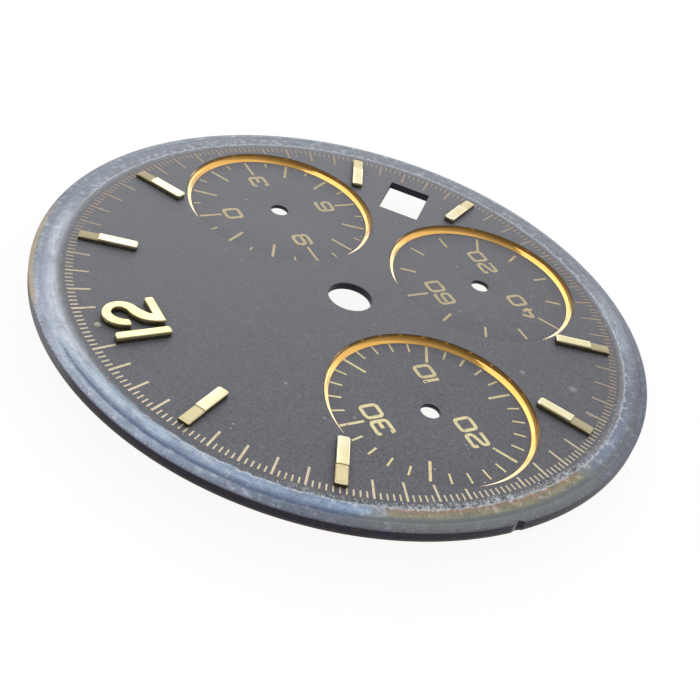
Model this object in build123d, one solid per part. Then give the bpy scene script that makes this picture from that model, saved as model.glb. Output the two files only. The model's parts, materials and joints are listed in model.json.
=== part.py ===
from build123d import *
import math
import os

# A chronograph dial: a brass plate with three recessed counters, applied hour marks and two feet.
# Origin: axis of the centre bore, on the plate's back face. +Z out of the face, +Y to 12, +X to 3.

# Plate
dial_r = 15.5
plate_t = 0.40
rim_band_w = 1.40
rim_groove_in = 0.90
rim_groove_w = 0.10
rim_groove_depth = 0.03
rim_step = 0.03
rim_drop = 0.10
flange_w = 1.60
flange_depth = 0.20
notch_w = 0.45
notch_depth = 0.20
notch_slant = 0.20
centre_bore_r = 1.13

# Counters at 3, 6 and 9
counter_rim_gap = 0.83
counter_web = 0.754
counter_recess = 0.35
counter_disc_t = 0.22
counter_disc_lap = 0.30
counter_bore_r = 0.48
ring_bevel_w = 0.32
ring_top_land = 0.03
ring_foot_h = 0.03

# Date window, between 4 and 5
window_angle = 135
window_rim_gap = 1.70
window_radial = 3.08
window_across = 2.30
window_corner_r = 0.12

# Hour batons with luminous ends
baton_rim_gap = 0.58
baton_len = 2.84
baton_w = 0.58
baton_h = 0.31
baton_bevel = 0.05
baton_end_r = 0.16
baton_side_wall = 0.06
baton_end_wall = 0.05
baton_floor_h = 0.08
baton_wall_drop = 0.12
lume_len = 1.00
lume_len_shares = (0.90, 0.90, 1.00, 1.00, 0.95, 1.00, 1.05, 1.05)
lume_h = 0.27
lume_end_bevel = 0.06

# Applied numerals at 12
numeral_h = 0.34
numeral_rim_gap = 1.32
one_x = -1.11
one_w = 0.45
one_len = 2.63
one_base_corner_r = 0.14
one_shoulder_r = 0.28
one_corner_r = 0.08
two_x = -0.52
two_len = 2.74
dot_x = 0.10
dot_gap = 0.05
dot_r = 0.21
dot_h = 0.11

# Pins under the applied pieces, and the copper feet
pin_r = 0.15
pin_tail = 0.10
pin_inset = 0.45
foot_angles = {"a": 45, "b": 225}
foot_flange_gap = 0.38
foot_r = 0.40
foot_len = 1.80
foot_flange_r = 0.62
foot_flange_h = 0.12

fit_gap = 0.01
cut_overrun = 0.5

# Outline of the figure 2 as shares of its length. A row is an arc's middle and end, or the end of a line.
two_start_share = (0.000, 0.613)
two_outline_shares = (
    ((0.085, 0.868), (0.322, 1.000)),
    ((0.562, 0.880), (0.637, 0.660)),
    ((0.603, 0.507), (0.500, 0.387)),
    ((0.347, 0.302), (0.232, 0.197)),
    ((0.232, 0.163),),
    ((0.606, 0.163),),
    ((0.637, 0.147), (0.648, 0.115)),
    ((0.648, 0.040),),
    ((0.637, 0.012), (0.604, 0.000)),
    ((0.026, 0.000),),
    ((0.008, 0.008), (0.000, 0.030)),
    ((0.036, 0.240), (0.110, 0.381)),
    ((0.210, 0.465), (0.344, 0.533)),
    ((0.462, 0.600), (0.491, 0.680)),
    ((0.450, 0.782), (0.337, 0.822)),
    ((0.230, 0.762), (0.154, 0.613)),
    ((0.080, 0.590), (0.000, 0.613)),
)
two_pin_shares = ((0.520, 0.085), (0.322, 0.910))

# Worked out from the sizes above
hour_angle = 30
counter_hours = [hour for hour in range(1, 12) if hour % 3 == 0]
baton_hours = [hour for hour in range(1, 12) if hour % 3]
rim_in_r = dial_r - rim_band_w
groove_mid_r = rim_in_r + rim_groove_in
flange_in_r = dial_r - flange_w
counter_floor_z = plate_t - counter_recess

# The counters are as large as the webs between their discs and the gap at the rim allow.
counter_reach_r = rim_in_r - counter_rim_gap
quarter_chord = math.sqrt(2)
ring_out_r = (quarter_chord * counter_reach_r - 2 * counter_disc_lap - counter_web) / (2 + quarter_chord)
counter_pitch_r = counter_reach_r - ring_out_r
disc_r = ring_out_r + counter_disc_lap
ring_in_r = ring_out_r - ring_top_land - ring_bevel_w
window_pitch_r = rim_in_r - window_rim_gap - window_radial / 2
baton_out_r = rim_in_r - baton_rim_gap
baton_in_r = baton_out_r - baton_len
numeral_top_r = rim_in_r - numeral_rim_gap
numeral_base_r = numeral_top_r - two_len
dot_pitch_r = numeral_top_r + dot_gap + dot_r
foot_pitch_r = flange_in_r - foot_flange_gap - foot_flange_r


def around(shape, angle, radius=0):
    """Puts a shape made at the centre, pointing to 12, at a clockwise angle and radius."""
    return Rot(0, 0, -angle) * Pos(0, radius, 0) * shape


def disc(radius, low, high):
    """A round slab between two heights."""
    return Pos(0, 0, low) * extrude(Circle(radius), high - low)


def turned(points):
    """A body of revolution about the Z axis, from (radius, height) points."""
    section = make_face(Polyline(*[(r, 0, z) for r, z in points], close=True))
    return revolve(section, Axis.Z)


def slab(face, low, high):
    """A flat outline drawn in XY, made solid between two heights."""
    return Pos(0, 0, low) * extrude(face, high - low)


def pin_cut(x, y):
    """The clearance hole for one pin, through the plate."""
    return Pos(x, y, 0) * disc(pin_r + fit_gap, -cut_overrun, plate_t + cut_overrun)


def pin(x, y):
    """One pin from the face down through the plate to a short tail at the back."""
    return Pos(x, y, 0) * disc(pin_r, -pin_tail, plate_t)


def baton_pin_places():
    """Where a baton's two pins stand, as distances from the dial's centre."""
    return (baton_in_r + 2 * pin_inset, baton_out_r - pin_inset)


def two_point(share):
    """A point of the figure 2 from its shares."""
    return (two_x + share[0] * two_len, numeral_base_r + share[1] * two_len)


def two_face():
    """The figure 2, drawn in arcs and lines."""
    here = two_point(two_start_share)
    edges = []
    for row in two_outline_shares:
        points = [two_point(share) for share in row]
        if len(points) == 1:
            edges.append(Line(here, points[0]))
        else:
            edges.append(ThreePointArc(here, points[0], points[1]))
        here = points[-1]
    return make_face(edges)


def one_face():
    """The figure 1: an upright bar with a rounded foot and one rounded shoulder."""
    bar = Pos(one_x, numeral_base_r + one_len / 2) * Rectangle(one_w, one_len)
    bottom = bar.vertices().group_by(Axis.Y)[0]
    bar = fillet(bottom, one_base_corner_r)
    top = bar.vertices().group_by(Axis.Y)[-1].sort_by(Axis.X)
    bar = fillet(top[-1], one_shoulder_r)
    top = bar.vertices().group_by(Axis.Y)[-1].sort_by(Axis.X)
    return fillet(top[0], one_corner_r)


def one_pin_places():
    return ((one_x, numeral_base_r + pin_inset), (one_x, numeral_base_r + one_len - pin_inset))


def two_pin_places():
    return tuple(two_point(share) for share in two_pin_shares)


def rim_profile():
    """Half section of the plate: a flat face, a stepped and grooved rim, and a flange below."""
    groove_in_r = groove_mid_r - rim_groove_w / 2
    groove_out_r = groove_mid_r + rim_groove_w / 2
    band_z = plate_t - rim_step
    return (
        (0, 0), (0, plate_t), (rim_in_r, plate_t),
        (groove_in_r, band_z), (groove_mid_r, band_z - rim_groove_depth), (groove_out_r, band_z),
        (dial_r, plate_t - rim_drop), (dial_r, -flange_depth),
        (flange_in_r, -flange_depth), (flange_in_r, 0),
    )


def date_window():
    """The cutter for the date window, with its long side along the radius."""
    face = RectangleRounded(window_across, window_radial, window_corner_r)
    return around(slab(face, -cut_overrun, plate_t + cut_overrun), window_angle, window_pitch_r)


def edge_notch():
    """The cutter for the small slanted notch in the edge at 9."""
    face = make_face(Polyline(
        (0, -notch_w / 2), (0, notch_w / 2), (notch_depth, notch_w / 2 - notch_slant),
        (notch_depth, -notch_w / 2), close=True,
    ))
    side = slab(face, -flange_depth - cut_overrun, plate_t + cut_overrun)
    outer = slab(
        Pos(-cut_overrun / 2, 0) * Rectangle(cut_overrun, notch_w),
        -flange_depth - cut_overrun, plate_t + cut_overrun,
    )
    return Pos(-dial_r, 0, 0) * (side + outer)


def dial_plate():
    """The brass plate with every hole that the other pieces fit."""
    plate = turned(rim_profile())
    plate -= disc(centre_bore_r, -cut_overrun, plate_t + cut_overrun)
    for hour in counter_hours:
        opening = disc(ring_out_r + fit_gap, -cut_overrun, plate_t + cut_overrun)
        seat = disc(disc_r + fit_gap, -cut_overrun, counter_floor_z)
        plate -= around(opening + seat, hour_angle * hour, counter_pitch_r)
    plate -= date_window()
    plate -= edge_notch()
    for hour in baton_hours:
        for place in baton_pin_places():
            plate -= around(pin_cut(0, place), hour_angle * hour)
    for x, y in one_pin_places() + two_pin_places():
        plate -= pin_cut(x, y)
    return plate


def counter_disc(hour):
    """A thin disc behind the plate: the counter's floor, with the bore for its hand."""
    bottom = counter_floor_z - counter_disc_t
    bore = disc(counter_bore_r, bottom - cut_overrun, counter_floor_z + cut_overrun)
    return around(disc(disc_r, bottom, counter_floor_z) - bore, hour_angle * hour, counter_pitch_r)


def counter_ring(hour):
    """A polished ring that stands on the disc and slopes up to the face."""
    section = (
        (ring_in_r, counter_floor_z), (ring_out_r, counter_floor_z), (ring_out_r, plate_t),
        (ring_out_r - ring_top_land, plate_t), (ring_in_r, counter_floor_z + ring_foot_h),
    )
    return around(turned(section), hour_angle * hour, counter_pitch_r)


def split_r(hour):
    """The radius where a baton's metal ends and its luminous block begins."""
    share = lume_len_shares[baton_hours.index(hour)]
    return baton_out_r - baton_end_wall - lume_len * share


def baton_outline():
    """The baton seen from above, with its inner corners rounded."""
    face = Pos(0, (baton_in_r + baton_out_r) / 2) * Rectangle(baton_w, baton_len)
    return fillet(face.vertices().group_by(Axis.Y)[0], baton_end_r)


def outer_block(hour, width, stop_r, low, high):
    """A block that starts where the baton's metal head ends and runs outward to a radius."""
    start_r = split_r(hour)
    return slab(Pos(0, (start_r + stop_r) / 2) * Rectangle(width, stop_r - start_r), low, high)


def hour_baton(hour):
    """A bevelled bar whose outer end is a channel for the luminous block, on two pins."""
    top = plate_t + baton_h
    wall_in_r = baton_out_r - baton_end_wall
    body = slab(baton_outline(), plate_t, top)
    body = chamfer(body.faces().sort_by(Axis.Z)[-1].edges(), baton_bevel)
    wall_top = top - baton_wall_drop
    body -= outer_block(hour, baton_w + cut_overrun, baton_out_r + cut_overrun, wall_top, top + cut_overrun)
    body -= outer_block(hour, baton_w - 2 * baton_side_wall, wall_in_r, plate_t + baton_floor_h, top)
    for place in baton_pin_places():
        body += pin(0, place)
    return around(body, hour_angle * hour)


def lume_block(hour):
    """Luminous paste that fills a baton's channel and lies over its low walls."""
    wall_top = plate_t + baton_h - baton_wall_drop
    wall_in_r = baton_out_r - baton_end_wall
    cap = outer_block(hour, baton_w, baton_out_r, wall_top, plate_t + lume_h)
    outer_top = cap.faces().sort_by(Axis.Z)[-1].edges().sort_by(Axis.Y)[-1]
    cap = chamfer(outer_top, lume_end_bevel)
    fill_w = baton_w - 2 * (baton_side_wall + fit_gap)
    fill = outer_block(hour, fill_w, wall_in_r - fit_gap, plate_t + baton_floor_h, wall_top)
    return around(cap + fill, hour_angle * hour)


def numeral(face, places):
    """An applied figure on two pins."""
    body = slab(face, plate_t, plate_t + numeral_h)
    for x, y in places:
        body += pin(x, y)
    return body


def lume_dot():
    """The small domed dot above the 12."""
    ball_r = (dot_r * dot_r + dot_h * dot_h) / (2 * dot_h)
    ball = Pos(0, 0, plate_t + dot_h - ball_r) * Sphere(ball_r)
    return Pos(dot_x, dot_pitch_r, 0) * (ball & disc(ball_r, plate_t, plate_t + dot_h))


def dial_foot(angle):
    """A copper foot with a wider base, soldered to the back."""
    post = disc(foot_r, -foot_len, 0) + disc(foot_flange_r, -foot_flange_h, 0)
    return around(post, angle, foot_pitch_r)


def write(shape, node):
    """Saves one piece under its node name."""
    shape.label = node
    export_step(shape, f"parts/{node}.step")


os.makedirs("parts", exist_ok=True)
write(dial_plate(), "dial_plate")
for hour in counter_hours:
    write(counter_disc(hour), f"counter_disc_{hour}")
    write(counter_ring(hour), f"counter_ring_{hour}")
for hour in baton_hours:
    write(hour_baton(hour), f"hour_baton_{hour}")
    write(lume_block(hour), f"lume_block_{hour}")
write(numeral(one_face(), one_pin_places()), "numeral_one")
write(numeral(two_face(), two_pin_places()), "numeral_two")
write(lume_dot(), "lume_dot_12")
for name, angle in foot_angles.items():
    write(dial_foot(angle), f"dial_foot_{name}")
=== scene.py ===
import json
import math
import random
from functools import partial
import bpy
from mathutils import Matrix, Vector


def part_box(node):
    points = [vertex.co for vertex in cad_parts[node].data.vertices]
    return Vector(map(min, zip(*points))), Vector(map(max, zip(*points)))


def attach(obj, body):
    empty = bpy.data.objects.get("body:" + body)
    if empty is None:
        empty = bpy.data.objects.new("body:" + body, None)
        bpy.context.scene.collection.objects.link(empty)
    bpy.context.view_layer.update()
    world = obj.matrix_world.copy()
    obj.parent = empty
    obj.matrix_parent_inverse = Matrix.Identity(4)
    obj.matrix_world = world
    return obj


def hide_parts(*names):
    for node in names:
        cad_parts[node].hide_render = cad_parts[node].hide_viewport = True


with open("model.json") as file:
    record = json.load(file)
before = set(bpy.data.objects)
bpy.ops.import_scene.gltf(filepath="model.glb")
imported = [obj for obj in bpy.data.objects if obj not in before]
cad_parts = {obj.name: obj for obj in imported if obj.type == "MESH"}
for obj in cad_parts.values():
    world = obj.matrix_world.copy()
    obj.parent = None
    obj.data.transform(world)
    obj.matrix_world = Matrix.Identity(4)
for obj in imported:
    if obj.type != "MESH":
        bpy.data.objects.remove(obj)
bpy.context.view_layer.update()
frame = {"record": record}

from types import SimpleNamespace

import bmesh
import bpy
from mathutils import Matrix, Vector, noise

# A chronograph dial on a pale studio floor. Sizes below are in millimetres, angles in degrees
# clockwise from 12, seen from the front. Meshes are drawn in millimetres and scaled once.
MM = 0.001


def box_mm(node):
    """A node's lowest and highest corners in millimetres."""
    low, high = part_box(node)
    return Vector(low) / MM, Vector(high) / MM


def mount(name):
    """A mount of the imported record, by name."""
    return next(m for m in frame["record"]["mounts"] if m["name"] == name)


# Sizes read from the frame
plate_low, plate_high = box_mm("dial_plate")
dial_r = plate_high.x
face_z = plate_high.z
flange_z = plate_low.z
foot_low, foot_high = box_mm("dial_foot_a")
foot_x, foot_y = ((foot_low + foot_high) / 2).xy
foot_end_z = foot_low.z
foot_base_r = (foot_high.x - foot_low.x) / 2
ring_low, ring_high = box_mm("counter_ring_9")
ring_out_r = (ring_high.x - ring_low.x) / 2
counter_pitch_r = -(ring_low.x + ring_high.x) / 2
floor_z = ring_low.z
disc_low, disc_high = box_mm("counter_disc_9")
disc_r = (disc_high.x - disc_low.x) / 2
disc_back_z = disc_low.z
centre_bore_r = mount("centre_bore")["dims"]["r_mm"]
counter_bore_r = mount("counter_bore_9")["dims"]["r_mm"]
foot_r = mount("foot_a")["dims"]["r_mm"]
one_low, one_high = box_mm("numeral_one")
two_low, two_high = box_mm("numeral_two")
numeral_top_z = two_high.z
dot_low, dot_high = box_mm("lume_dot_12")
baton_low, baton_high = box_mm("hour_baton_1")
baton_top_z = baton_high.z
pin_end_z = baton_low.z
lume_top_z = box_mm("lume_block_1")[1].z

# Limits for meshes: a shortest edge and smallest face, the share of a side that a rounded corner may take,
# the angle from which an edge is sharp, how far a mitre reaches, and which way faces look
merge_dist = 1e-5
sliver_area = 1e-9
corner_share = 0.48
crease_angle = 32
mitre_limit = 0.35
level_normal_z = 0.9999
top_normal_z = 0.35
back_normal_z = -0.5
flank_normal_y = -0.2

# Plate and rim
rim_band_w = 1.40
rim_groove_in = 0.90
rim_groove_w = 0.26
rim_groove_depth = 0.015
rim_step = 0.03
rim_drop = 0.10
rim_edge_round = 0.05
face_edge_round = 0.10
groove_round = 0.02
back_edge_round = 0.01
flange_edge_round = 0.02
flange_w = 1.60
bore_edge = 0.03
fit_gap = 0.01
cut_overrun = 0.5
rim_in_r = dial_r - rim_band_w
groove_mid_r = rim_in_r + rim_groove_in
notch_top = ((-0.30, 0), (-0.29, 0.02), (-0.04, 0.16), (0.32, 0))
notch_low = ((-0.25, 0), (-0.22, 0.04), (0.05, 0.07), (0.32, 0))

# Date window
window_angle = 135
window_rim_gap = 1.70
window_radial = 3.08
window_across = 2.30
window_corner_r = 0.12

# Counters
counter_hours = (3, 6, 9)
disc_edge_round = 0.02
ring_slope_w = 0.285
ring_drop = 0.015
ring_foot_h = 0.006
ring_knee = (0.175, 0.076)
ring_shoulder = (0.267, 0.178)

# Batons and their luminous ends
baton_rim_gap = 0.58
baton_len = 2.84
baton_w = 0.58
baton_end_r = 0.16
baton_edge_w = 0.11
baton_edge_h = 0.055
baton_crown = 0.010
baton_end_wall = 0.05
end_spare = 0.20
baton_wall_drop = 0.12
channel_gap = 0.004
crown_share = 0.96
lume_len = 1.00
lume_len_shares = (0.90, 0.90, 1.00, 1.00, 0.95, 1.00, 1.05, 1.05)
lume_edge_w = 0.19
lume_edge_h = 0.085
lume_crown = 0.015
lume_corner_r = 0.13
lume_end_slope = 0.09
lume_end_slope_len = 0.26
lume_grain = 0.006
lume_bumps_per_mm = 9
lume_point_gap = 0.05
seam_w = 0.012
baton_hours = [hour for hour in range(1, 12) if hour % 3]
baton_out_r = rim_in_r - baton_rim_gap
baton_in_r = baton_out_r - baton_len

# Numerals, pins and feet
one_base_corner_r = 0.14
one_shoulder_r = 0.28
one_corner_r = 0.08
numeral_edge = 0.05
pin_r = 0.15
pin_inset = 0.45
pin_end_round = 0.03
foot_base_h = 0.12
foot_rounds = (0, 0.03, 0.05, 0.05, 0.06, 0)
two_start_share = (0, 0.613)
two_outline_shares = (
    ((0.085, 0.868), (0.322, 1.0)), ((0.562, 0.880), (0.637, 0.660)), ((0.603, 0.507), (0.500, 0.387)),
    ((0.347, 0.302), (0.232, 0.197)), ((0.232, 0.163),), ((0.606, 0.163),), ((0.637, 0.147), (0.648, 0.115)),
    ((0.648, 0.040),), ((0.637, 0.012), (0.604, 0)), ((0.026, 0),), ((0.008, 0.008), (0, 0.030)),
    ((0.036, 0.240), (0.110, 0.381)), ((0.210, 0.465), (0.344, 0.533)), ((0.462, 0.600), (0.491, 0.680)),
    ((0.450, 0.782), (0.337, 0.822)), ((0.230, 0.762), (0.154, 0.613)), ((0.080, 0.590), (0, 0.613)),
)
two_pin_shares = ((0.520, 0.085), (0.322, 0.910))

# Printing: a layer of ink about 0.01 mm thick
ink_t = 0.008
track_out_r = 13.87
track_long_in_r = 12.77
track_short_in_r = 13.50
track_long_w = 0.115
track_short_w = 0.080
track_ring_gap = 0.10
ticks_per_minute = 5
clear_step = 0.02
counter_tick_out_r = 4.70
counter_long_in_r = 3.45
counter_short_in_r = 4.08
counter_long_w = 0.14
counter_short_w = 0.10
six_short_in_r = 3.60
six_short_out_r = 4.45
figure_h = 1.02
figure_w = 0.95
figure_one_w = 0.30
figure_gap = 0.09
figure_stroke = 0.185
figure_corner_r = 0.20
nine_pair_places = ((0.10, 2.86), (2.36, -1.20), (-1.70, -1.20))
six_pair_places = ((-0.14, 2.70), (1.93, -1.40), (-2.05, -1.42))
nine_print_shift = Vector((0.11, 0.07))
six_print_shift = Vector((-0.08, -0.02))
single_figure_r = 2.80
half_tick_in_r = 4.30

# Grain of the finishes. Real grit, sand, salt crystals and turned, brushed or drawn lines are finer, and
# are drawn as coarse as they need to be to show.
grit_size = 0.11
lacquer_cloud = 2.6
speck_gap = 0.60
speck_size = 0.09
speck_drift = 0.9
salt_size = 0.07
scab_size = 0.42
stain_size = 1.9
lump_size = 0.16
streak_w = 0.13
streak_stretch = 0.09
turned_line_w = 0.07
oxide_spot = 0.30
brushed_line_w = 0.06
brass_cloud = 3.4
gold_cloud = 1.2
tarnish_speck = 0.06
pale_gold_cloud = 0.9
sand_size = 0.06
paste_cloud = 0.6
ink_wear = 0.14
drawn_line_w = 0.05
crust_grain = 0.08

# Where the face's lacquer ends on the rim, and how far from the centre the painted sheen that lightens it
# towards 3 reaches
lacquer_end_r = 14.04
sheen_fade_r = 14.0

# Pale flakes of lifted lacquer and salt on the rim: an angle and a place are a middle and a spread, and
# shares and corners are the least and the most
flake_count = 300
flake_r = 0.022
flake_seed = 11
flake_near_share = 0.75
flake_angle = (272, 22)
flake_place_r = (14.12, 0.10)
flake_in_r = 13.92
flake_out_r = 14.6
flake_size_shares = (0.45, 1.5)
flake_corners = (5, 8)
flake_reach_shares = (0.55, 1.2)
flake_height_shares = (0.4, 0.9)
flake_sink = 0.004
# A pale flake by itself on the lacquer near 9 is a painted glint
glint_flake = (-13.1, 0.3)
glint_flake_r = 1.6 * flake_r

# Faint pale scuffs on the lacquer: place and half width
scuffs = (((-7.06, -5.94), 0.22), ((-8.73, -7.90), 0.32), ((-10.58, -7.66), 0.24))

# The side where the ink has browned, away from the photographer, and the side where the paste has
fade_side = 128
brown_side = 45

# Camera, fitted to the photograph
camera_place = Vector((-38.936, 30.354, 34.189))
camera_aim = Vector((-3.799, 2.057, 0.40))
camera_roll = 17.47
camera_focal_px = 1203.34
image_px = 700
sensor_mm = 36

# Room, floor and lamps: levels where 1 is white
lamp_distance = 400
overhead_place = Vector((197, 131.7, 300))
overhead_turn = 33.9
floor_reach = 600
floor_t = 2
floor_glow = 0.90
bright_side = 150
bright_height = 20
room_light = 0.75
room_tones = [(0.0, "#525252"), (0.35, "#808080"), (0.50, "#929292"), (0.60, "#a3a3a3"), (0.735, "#aeaeae"),
              (0.765, "#b8b8b8"), (0.81, "#e7e7e7"), (0.89, "#f1f1f1"), (0.945, "#fafafa"), (1.0, "#f0f0f0")]
room_mirrored = 1.15


# Mesh tools

def circle_point(radius, angle, centre=(0, 0)):
    """A point at a clockwise angle from 12."""
    turn = math.radians(angle)
    return Vector((centre[0] + radius * math.sin(turn), centre[1] + radius * math.cos(turn)))


def direction(angle, elevation):
    """A unit vector towards a side and a height, both in degrees."""
    rise = math.radians(elevation)
    flat = circle_point(math.cos(rise), angle)
    return Vector((flat.x, flat.y, math.sin(rise)))


def rectangle(left, bottom, right, top):
    """A rectangle's corners, from the lower left one."""
    return [(left, bottom), (right, bottom), (right, top), (left, top)]


def arc(start, middle, end, steps):
    """Points after start, along the arc through three points."""
    ax, ay, bx, by, cx, cy = *start, *middle, *end
    d = 2 * (ax * (by - cy) + bx * (cy - ay) + cx * (ay - by))
    a2, b2, c2 = ax * ax + ay * ay, bx * bx + by * by, cx * cx + cy * cy
    centre = Vector((a2 * (by - cy) + b2 * (cy - ay) + c2 * (ay - by),
                     a2 * (cx - bx) + b2 * (ax - cx) + c2 * (bx - ax))) / d
    first, second, last = (Vector(point) - centre for point in (start, middle, end))
    turn = first.angle_signed(second) + second.angle_signed(last)
    made = []
    for step in range(1, steps + 1):
        part = first.copy()
        part.rotate(Matrix.Rotation(-turn * step / steps, 2))
        made.append(centre + part)
    return made


def rounded(points, radii, steps, closed=True):
    """An outline with its corners rounded. A corner of radius 0 stays sharp."""
    made = []
    count = len(points)
    for index, point in enumerate(points):
        corner = Vector(point)
        radius = radii[index] if isinstance(radii, (list, tuple)) else radii
        if radius <= 0 or (not closed and index in (0, count - 1)):
            made.append(corner)
            continue
        before = Vector(points[index - 1]) - corner
        after = Vector(points[(index + 1) % count]) - corner
        half = before.angle(after) / 2
        reach = min(radius / math.tan(half), before.length * corner_share, after.length * corner_share)
        start = corner + before.normalized() * reach
        end = corner + after.normalized() * reach
        for step in range(steps + 1):
            t = step / steps
            made.append((1 - t) ** 2 * start + 2 * t * (1 - t) * corner + t ** 2 * end)
    return made


def turn_profile(bm, profile, centre=(0, 0), steps=256):
    """Revolves a closed (radius, height) profile about a vertical axis."""
    rings = []
    for step in range(steps):
        turn = 2 * math.pi * step / steps
        rings.append([bm.verts.new((centre[0] + r * math.sin(turn), centre[1] + r * math.cos(turn), z))
                      for r, z in profile])
    for step in range(steps):
        here, there = rings[step], rings[(step + 1) % steps]
        for k in range(len(profile)):
            bm.faces.new((here[k - 1], here[k], there[k], there[k - 1]))


def prism(bm, outline, low, high, top_outline=None):
    """A solid between two heights over a flat outline, or from it to a second one on top."""
    bottom = [bm.verts.new((x, y, low)) for x, y in outline]
    top = [bm.verts.new((x, y, high)) for x, y in top_outline or outline]
    bm.faces.new(list(reversed(bottom)))
    bm.faces.new(top)
    for k in range(len(outline)):
        bm.faces.new((bottom[k - 1], bottom[k], top[k], top[k - 1]))


def pillow(bm, outline, centre, half, profile):
    """A low raised form: the outline is drawn inward in steps of (inset, height) and closed on top."""
    rings = []
    for inset, z in profile:
        sx, sy = 1 - inset / half[0], 1 - inset / half[1]
        rings.append([bm.verts.new((centre[0] + (x - centre[0]) * sx, centre[1] + (y - centre[1]) * sy, z))
                      for x, y in outline])
    for low, high in zip(rings, rings[1:]):
        for k in range(len(outline)):
            bm.faces.new((low[k - 1], low[k], high[k], high[k - 1]))
    bm.faces.new(list(reversed(rings[0])))
    bm.faces.new(rings[-1])


def square_end(bm, y, side):
    """Cuts a form off square at a distance along Y and closes the cut. Side 1 removes what lies beyond."""
    bmesh.ops.recalc_face_normals(bm, faces=bm.faces)
    made = bmesh.ops.bisect_plane(bm, geom=bm.verts[:] + bm.edges[:] + bm.faces[:], plane_co=(0, y, 0),
                                  plane_no=(0, side, 0), clear_outer=True)
    rim = [item for item in made["geom_cut"] if isinstance(item, bmesh.types.BMEdge)]
    bmesh.ops.edgeloop_fill(bm, edges=rim)


def ribbon(bm, points, width, low, closed=False):
    """A strip of ink of even width along a line, with mitred corners."""
    count = len(points)
    sides = []
    for k in range(count):
        here = Vector(points[k])
        before = Vector(points[k - 1]) if k or closed else None
        after = Vector(points[(k + 1) % count]) if k < count - 1 or closed else None
        into = (here - before).normalized() if before is not None else (after - here).normalized()
        out = (after - here).normalized() if after is not None else into
        along = (into + out).normalized()
        reach = width / 2 / max(along.dot(into), mitre_limit)
        across = Vector((-along.y, along.x)) * reach
        sides.append((here + across, here - across))
    rings = []
    for left, right in sides:
        section = ((left, low), (left, low + ink_t), (right, low + ink_t), (right, low))
        rings.append([bm.verts.new((p.x, p.y, z)) for p, z in section])
    spans = count if closed else count - 1
    for k in range(spans):
        here, there = rings[k], rings[(k + 1) % count]
        for j in range(4):
            bm.faces.new((here[j - 1], here[j], there[j], there[j - 1]))
    if not closed:
        bm.faces.new(rings[0])
        bm.faces.new(list(reversed(rings[-1])))


def spin(bm, angle):
    """Turns what is drawn at 12 to a clockwise angle."""
    bmesh.ops.rotate(bm, verts=bm.verts, cent=(0, 0, 0), matrix=Matrix.Rotation(-math.radians(angle), 3, "Z"))


def finish_mesh(bm, name, sharp_angle):
    """A mesh in metres with outward normals, smooth but for its edges."""
    bmesh.ops.remove_doubles(bm, verts=bm.verts, dist=merge_dist)
    bmesh.ops.recalc_face_normals(bm, faces=bm.faces)
    bmesh.ops.scale(bm, vec=(MM, MM, MM), verts=bm.verts)
    mesh = bpy.data.meshes.new(name)
    bm.to_mesh(mesh)
    bm.free()
    smooth(mesh, sharp_angle)
    return mesh


def smooth(mesh, sharp_angle):
    """Smooth shading, with edges sharper than an angle kept sharp."""
    for face in mesh.polygons:
        face.use_smooth = True
    mesh.set_sharp_from_angle(angle=math.radians(sharp_angle))


def flat_caps(mesh):
    """Flat shading on level faces, so that they mirror as true planes."""
    for face in mesh.polygons:
        face.use_smooth = abs(face.normal.z) < level_normal_z


def new_object(name, data):
    """Adds an object to the scene."""
    made = bpy.data.objects.new(name, data)
    bpy.context.scene.collection.objects.link(made)
    return made


def final_mesh(holder):
    """The mesh of an object with its modifiers, or of a filled curve."""
    bpy.context.view_layer.update()
    return bpy.data.meshes.new_from_object(holder.evaluated_get(bpy.context.evaluated_depsgraph_get()))


def piece(name, bm, slot, *materials, stands_for=(), sharp_angle=crease_angle):
    """A finished piece of the dial, riding on its one body."""
    made = new_object(name, finish_mesh(bm, name, sharp_angle))
    for material in materials:
        made.data.materials.append(material)
    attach(made, "root")
    if stands_for:
        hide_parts(*stands_for)
    return made


def cut(target, bm):
    """Cuts a solid out of a piece and removes the cutter."""
    cutter = new_object("cutter", finish_mesh(bm, "cutter", crease_angle))
    step = target.modifiers.new("cut", "BOOLEAN")
    step.operation = "DIFFERENCE"
    step.solver = "EXACT"
    step.object = cutter
    result = final_mesh(target)
    target.modifiers.clear()
    target.data = result
    smooth(result, crease_angle)
    bpy.data.objects.remove(cutter)


# Materials

SMOOTH = {"interpolation_type": "SMOOTHSTEP"}
COLOUR = {"data_type": "RGBA"}


def linear(code):
    """An sRGB hex colour as linear RGBA."""
    parts = [int(code[k:k + 2], 16) / 255 for k in (1, 3, 5)]
    return tuple(c / 12.92 if c <= 0.04045 else ((c + 0.055) / 1.055) ** 2.4 for c in parts) + (1.0,)


def add_node(tree, kind, inputs, stops=(), **settings):
    """Adds one node with its settings, and sets or links its inputs.

    An input has a name or a number. Its value is a number, a hex colour, an output, or a node, which
    stands for its first output. Stops are the places and colours of a colour ramp.
    """
    made = tree.nodes.new("ShaderNode" + kind)
    for key, value in settings.items():
        setattr(made, key, value)
    for key, value in inputs.items():
        named = [socket for socket in made.inputs if socket.enabled and socket.name == key]
        socket = named[0] if named else made.inputs[key]
        if isinstance(value, bpy.types.Node):
            value = next(output for output in value.outputs if output.enabled)
        if isinstance(value, bpy.types.NodeSocket):
            tree.links.new(value, socket)
        else:
            socket.default_value = linear(value) if isinstance(value, str) else value
    for count, (place, tone) in enumerate(stops):
        elements = made.color_ramp.elements
        element = elements[count] if count < len(elements) else elements.new(place)
        element.position = place
        element.color = linear(tone)
    return made


def node_adder(holder):
    """Empties a material's or the world's nodes. Gives the function that adds new ones."""
    holder.use_nodes = True
    holder.node_tree.nodes.clear()
    return partial(add_node, holder.node_tree)


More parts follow.
